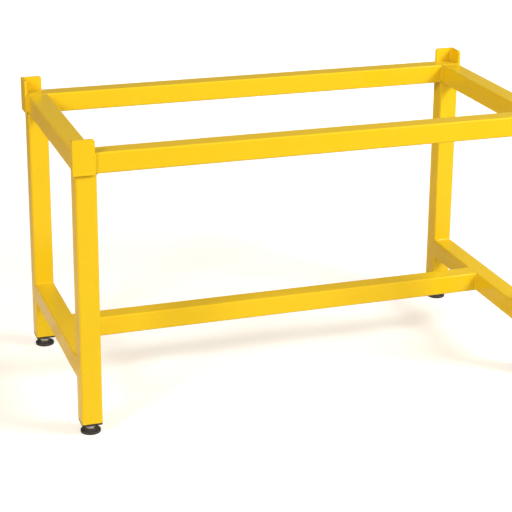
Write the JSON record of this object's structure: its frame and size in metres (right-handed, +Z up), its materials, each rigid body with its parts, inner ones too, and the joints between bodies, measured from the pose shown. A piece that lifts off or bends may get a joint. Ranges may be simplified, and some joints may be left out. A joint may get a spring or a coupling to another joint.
{
  "type": "hazardous-substance cabinet floor stand",
  "caption": "Open welded square-tube floor stand with corner angles that locate a storage cabinet, H-shaped lower bracing and screw-adjusted levelling feet.",
  "frame": {"origin": "on the floor under the middle of the frame, with the four pads standing on z = 0", "axes": "+X along the front to the right, +Y from the front to the back, +Z up"},
  "size_m": [0.9256, 0.4676, 0.556],
  "materials": {
    "yellow_powder_coat": "smooth gloss powder coat in safety yellow, with a faint orange peel",
    "black_insert_plastic": "moulded black nylon, fine matt grain",
    "black_pad_plastic": "moulded black nylon, slightly polished on the crown",
    "zinc_plate": "bright zinc plate on steel"
  },
  "bodies": {
    "frame": {"front_top_rail": "yellow_powder_coat", "rear_top_rail": "yellow_powder_coat", "left_top_rail": "yellow_powder_coat", "right_top_rail": "yellow_powder_coat", "left_side_stretcher": "yellow_powder_coat", "right_side_stretcher": "yellow_powder_coat", "long_stretcher": "yellow_powder_coat", "front_left_leg": "yellow_powder_coat", "front_right_leg": "yellow_powder_coat", "rear_right_leg": "yellow_powder_coat", "rear_left_leg": "yellow_powder_coat", "front_left_corner_angle": "yellow_powder_coat", "front_right_corner_angle": "yellow_powder_coat", "rear_right_corner_angle": "yellow_powder_coat", "rear_left_corner_angle": "yellow_powder_coat", "front_left_leg_insert": "black_insert_plastic", "front_right_leg_insert": "black_insert_plastic", "rear_right_leg_insert": "black_insert_plastic", "rear_left_leg_insert": "black_insert_plastic", "front_left_captive_nut": "zinc_plate", "front_right_captive_nut": "zinc_plate", "rear_right_captive_nut": "zinc_plate", "rear_left_captive_nut": "zinc_plate"},
    "front_left_pad": {"front_left_foot_pad": "black_pad_plastic"},
    "front_left_stud": {"front_left_foot_stud": "zinc_plate", "front_left_adjusting_nut": "zinc_plate"},
    "front_right_pad": {"front_right_foot_pad": "black_pad_plastic"},
    "front_right_stud": {"front_right_foot_stud": "zinc_plate", "front_right_adjusting_nut": "zinc_plate"},
    "rear_right_pad": {"rear_right_foot_pad": "black_pad_plastic"},
    "rear_right_stud": {"rear_right_foot_stud": "zinc_plate", "rear_right_adjusting_nut": "zinc_plate"},
    "rear_left_pad": {"rear_left_foot_pad": "black_pad_plastic"},
    "rear_left_stud": {"rear_left_foot_stud": "zinc_plate", "rear_left_adjusting_nut": "zinc_plate"}
  },
  "joints": [
    {"name": "front_left_foot_travel", "type": "slide", "parent": "frame", "child": "front_left_pad", "axis": [0, 0, -1], "range_m": [-0.005, 0.015]},
    {"name": "front_left_stud_turn", "type": "hinge", "parent": "front_left_pad", "child": "front_left_stud", "pos_m": [-0.4385, -0.2095, 0], "axis": [0, 0, -1], "range_deg": [-1440, 4320]},
    {"name": "front_right_foot_travel", "type": "slide", "parent": "frame", "child": "front_right_pad", "axis": [0, 0, -1], "range_m": [-0.005, 0.015]},
    {"name": "front_right_stud_turn", "type": "hinge", "parent": "front_right_pad", "child": "front_right_stud", "pos_m": [0.4385, -0.2095, 0], "axis": [0, 0, -1], "range_deg": [-1440, 4320]},
    {"name": "rear_right_foot_travel", "type": "slide", "parent": "frame", "child": "rear_right_pad", "axis": [0, 0, -1], "range_m": [-0.005, 0.015]},
    {"name": "rear_right_stud_turn", "type": "hinge", "parent": "rear_right_pad", "child": "rear_right_stud", "pos_m": [0.4385, 0.2095, 0], "axis": [0, 0, -1], "range_deg": [-1440, 4320]},
    {"name": "rear_left_foot_travel", "type": "slide", "parent": "frame", "child": "rear_left_pad", "axis": [0, 0, -1], "range_m": [-0.005, 0.015]},
    {"name": "rear_left_stud_turn", "type": "hinge", "parent": "rear_left_pad", "child": "rear_left_stud", "pos_m": [-0.4385, 0.2095, 0], "axis": [0, 0, -1], "range_deg": [-1440, 4320]}
  ],
  "couplings": [
    {"joint": "front_left_stud_turn", "follows": "front_left_foot_travel", "rad_per_m": 5026.5},
    {"joint": "front_right_stud_turn", "follows": "front_right_foot_travel", "rad_per_m": 5026.5},
    {"joint": "rear_right_stud_turn", "follows": "rear_right_foot_travel", "rad_per_m": 5026.5},
    {"joint": "rear_left_stud_turn", "follows": "rear_left_foot_travel", "rad_per_m": 5026.5}
  ]
}
